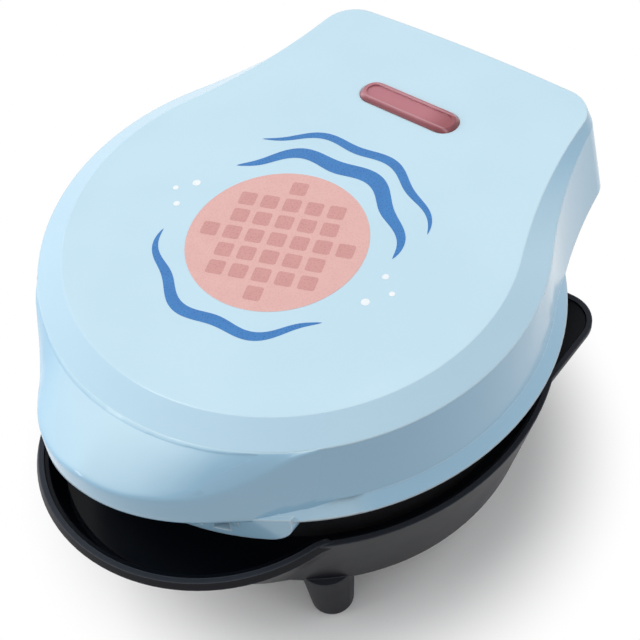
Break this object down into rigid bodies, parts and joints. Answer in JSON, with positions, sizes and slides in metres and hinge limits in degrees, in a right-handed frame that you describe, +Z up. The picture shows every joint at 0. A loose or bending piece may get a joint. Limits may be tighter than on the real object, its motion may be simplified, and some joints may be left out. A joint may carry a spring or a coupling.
{
  "type": "mini waffle maker",
  "caption": "Small round waffle maker with a hinged keyhole-shaped lid, front hand lips, studded plates and peg feet.",
  "frame": {"origin": "on the floor under the middle of the whole object's box, lid closed", "axes": "+Z up, -Y towards the hand lips at the front, +Y towards the hinge, +X to the right seen from the front"},
  "size_m": [0.129, 0.1568, 0.0857],
  "materials": {
    "shell_blue": "glossy pale blue moulding",
    "body_charcoal": "satin charcoal moulding",
    "deck_black": "satin black moulding",
    "plate_coating": "black non-stick coating on a casting",
    "sheet_aluminium": "rolled sheet",
    "element_steel": "heater tube",
    "screw_steel": "zinc plated",
    "pad_rubber": "matt rubber",
    "lens_red": "translucent red",
    "lamp_glass": "clear glass",
    "ceramic_white": "white insulator",
    "pin_steel": "ground steel"
  },
  "bodies": {
    "base": {"base_housing": "body_charcoal", "base_deck": "deck_black", "base_screws": "screw_steel", "foot_pads": "pad_rubber", "lower_plate": "plate_coating", "lower_heater": "element_steel", "lower_reflector": "sheet_aluminium", "lower_plate_screws": "screw_steel", "thermostat": "sheet_aluminium", "thermostat_screws": "screw_steel", "thermal_fuse": "ceramic_white", "fuse_clip": "sheet_aluminium", "fuse_screw": "screw_steel", "terminal_block": "ceramic_white", "cord_gland": "deck_black", "hinge_pins": "pin_steel"},
    "lid": {"lid_housing": "shell_blue", "lid_liner": "deck_black", "lid_screws": "screw_steel", "upper_plate": "plate_coating", "upper_heater": "element_steel", "upper_reflector": "sheet_aluminium", "upper_plate_screws": "screw_steel", "indicator_lens": "lens_red", "lens_holder": "ceramic_white", "indicator_lamp": "lamp_glass"}
  },
  "joints": [
    {"name": "lid_hinge", "type": "hinge", "parent": "base", "child": "lid", "pos_m": [0, 0.06805, 0.05335], "axis": [-1, 0, 0], "range_deg": [0, 100]}
  ]
}
